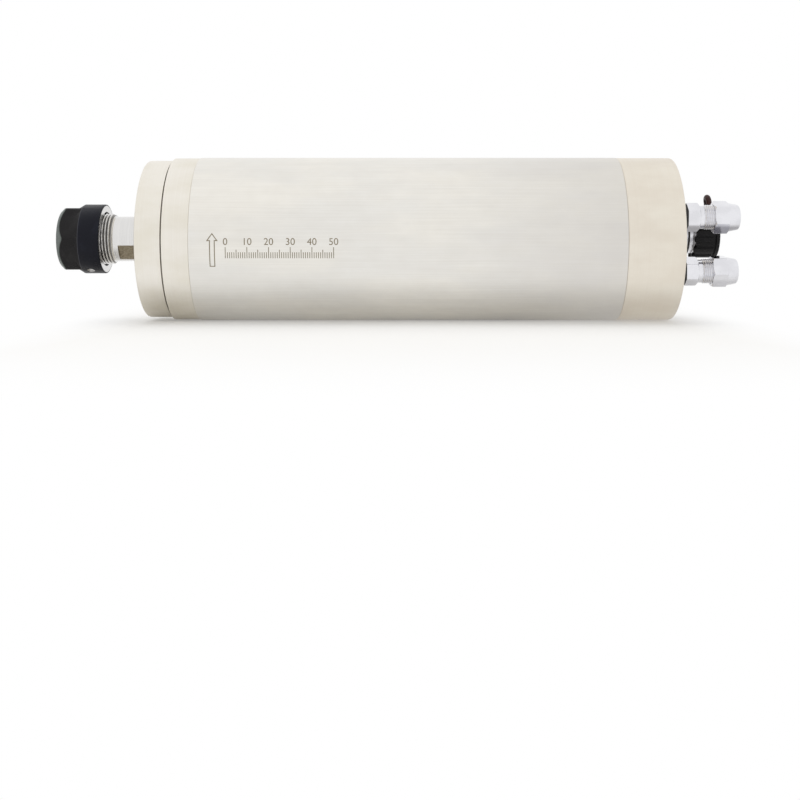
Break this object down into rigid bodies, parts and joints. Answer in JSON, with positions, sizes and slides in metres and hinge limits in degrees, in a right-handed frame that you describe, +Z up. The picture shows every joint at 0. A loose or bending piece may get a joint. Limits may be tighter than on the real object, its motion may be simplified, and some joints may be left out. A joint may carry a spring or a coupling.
{
  "type": "motor spindle",
  "caption": "Round water-cooled motor spindle: steel tube with end caps, collet chuck on the nose, two hose fittings and a capped power connector at the rear.",
  "frame": {"origin": "on the turning axis, at the middle of the stainless tube that the clamp holds", "axes": "+X along the turning axis from the nose to the rear fittings, +Z up, the tool points to -X"},
  "size_m": [0.3274, 0.08, 0.08],
  "materials": {
    "stainless_tube": "satin",
    "end_cap_metal": "satin",
    "jacket_metal": "machined",
    "shaft_steel": "ground",
    "blackened_steel": "black oxide, satin",
    "collet_steel": "ground",
    "bearing_steel": "polished",
    "cage_resin": "satin",
    "spring_steel": "blued",
    "lamination_steel": "stacked sheets",
    "winding_copper": "enamelled",
    "cage_aluminium": "cast",
    "nickel_plating": "satin nickel",
    "black_rubber": "matte",
    "red_rubber": "matte",
    "insulator": "satin",
    "pin_gold": "polished",
    "lead_insulation": "smooth",
    "water_hose": "clear",
    "brass_ferrule": "turned",
    "screw_steel": "zinc"
  },
  "bodies": {
    "housing": {"body_tube": "stainless_tube", "water_jacket": "jacket_metal", "front_bearing_housing": "end_cap_metal", "front_end_cap": "end_cap_metal", "rear_bearing_housing": "jacket_metal", "rear_end_cap": "end_cap_metal", "front_cap_screws": "screw_steel", "rear_cap_screws": "screw_steel", "front_housing_seal": "black_rubber", "rear_housing_seal": "black_rubber", "stator_core": "lamination_steel", "stator_windings": "winding_copper", "front_bearing_outer_rings": "bearing_steel", "front_outer_spacer": "shaft_steel", "rear_bearing_outer_ring": "bearing_steel", "preload_spring": "spring_steel", "water_tubes": "water_hose", "fitting_seals": "black_rubber", "inlet_fitting": "nickel_plating", "outlet_fitting": "nickel_plating", "connector_gasket": "black_rubber", "connector_socket": "nickel_plating", "connector_washer": "black_rubber", "connector_insert": "insulator", "connector_pins": "pin_gold", "connector_screws": "screw_steel", "phase_leads": "lead_insulation"},
    "rotor": {"spindle_shaft": "shaft_steel", "front_slinger": "end_cap_metal", "front_bearing_inner_rings": "bearing_steel", "front_inner_spacer": "shaft_steel", "front_lock_nut": "blackened_steel", "rotor_core": "lamination_steel", "rotor_cage": "cage_aluminium", "rear_bearing_inner_ring": "bearing_steel", "rear_lock_nut": "blackened_steel"},
    "front_cages": {"front_bearing_cages": "cage_resin", "front_bearing_balls": "bearing_steel"},
    "rear_cage": {"rear_bearing_cage": "cage_resin", "rear_bearing_balls": "bearing_steel"},
    "collet": {"collet": "collet_steel"},
    "collet_nut": {"collet_nut": "blackened_steel"},
    "inlet_ferrule": {"inlet_ferrule": "brass_ferrule"},
    "inlet_nut": {"inlet_nut": "nickel_plating"},
    "outlet_ferrule": {"outlet_ferrule": "brass_ferrule"},
    "outlet_nut": {"outlet_nut": "nickel_plating"},
    "dust_cap": {"dust_cap": "black_rubber"}
  },
  "joints": [
    {"name": "spindle_spin", "type": "hinge", "parent": "housing", "child": "rotor", "pos_m": [0, 0, 0], "axis": [1, 0, 0], "continuous": true},
    {"name": "front_cage_orbit", "type": "hinge", "parent": "housing", "child": "front_cages", "pos_m": [-0.098, 0, 0], "axis": [1, 0, 0], "continuous": true},
    {"name": "rear_cage_orbit", "type": "hinge", "parent": "housing", "child": "rear_cage", "pos_m": [0.088, 0, 0], "axis": [1, 0, 0], "continuous": true},
    {"name": "collet_slide", "type": "slide", "parent": "rotor", "child": "collet", "axis": [-1, 0, 0], "range_m": [0, 0.0135]},
    {"name": "collet_nut_turn", "type": "hinge", "parent": "collet", "child": "collet_nut", "pos_m": [-0.16, 0, 0], "axis": [-1, 0, 0], "range_deg": [0, 3240]},
    {"name": "inlet_ferrule_slide", "type": "slide", "parent": "housing", "child": "inlet_ferrule", "axis": [1, 0, 0], "range_m": [0, 0.004]},
    {"name": "inlet_nut_turn", "type": "hinge", "parent": "inlet_ferrule", "child": "inlet_nut", "pos_m": [0.15, -0.02057, 0.0103], "axis": [1, 0, 0], "range_deg": [0, 1440]},
    {"name": "outlet_ferrule_slide", "type": "slide", "parent": "housing", "child": "outlet_ferrule", "axis": [1, 0, 0], "range_m": [0, 0.004]},
    {"name": "outlet_nut_turn", "type": "hinge", "parent": "outlet_ferrule", "child": "outlet_nut", "pos_m": [0.15, -0.01698, -0.01551], "axis": [1, 0, 0], "range_deg": [0, 1440]},
    {"name": "dust_cap_pull", "type": "slide", "parent": "housing", "child": "dust_cap", "axis": [1, 0, 0], "range_m": [0, 0.012]}
  ],
  "couplings": [
    {"joint": "front_cage_orbit", "follows": "spindle_spin", "ratio": 0.41481},
    {"joint": "rear_cage_orbit", "follows": "spindle_spin", "ratio": 0.40217},
    {"joint": "collet_nut_turn", "follows": "collet_slide", "rad_per_m": 4188.8},
    {"joint": "inlet_nut_turn", "follows": "inlet_ferrule_slide", "rad_per_m": 6283.2},
    {"joint": "outlet_nut_turn", "follows": "outlet_ferrule_slide", "rad_per_m": 6283.2}
  ]
}
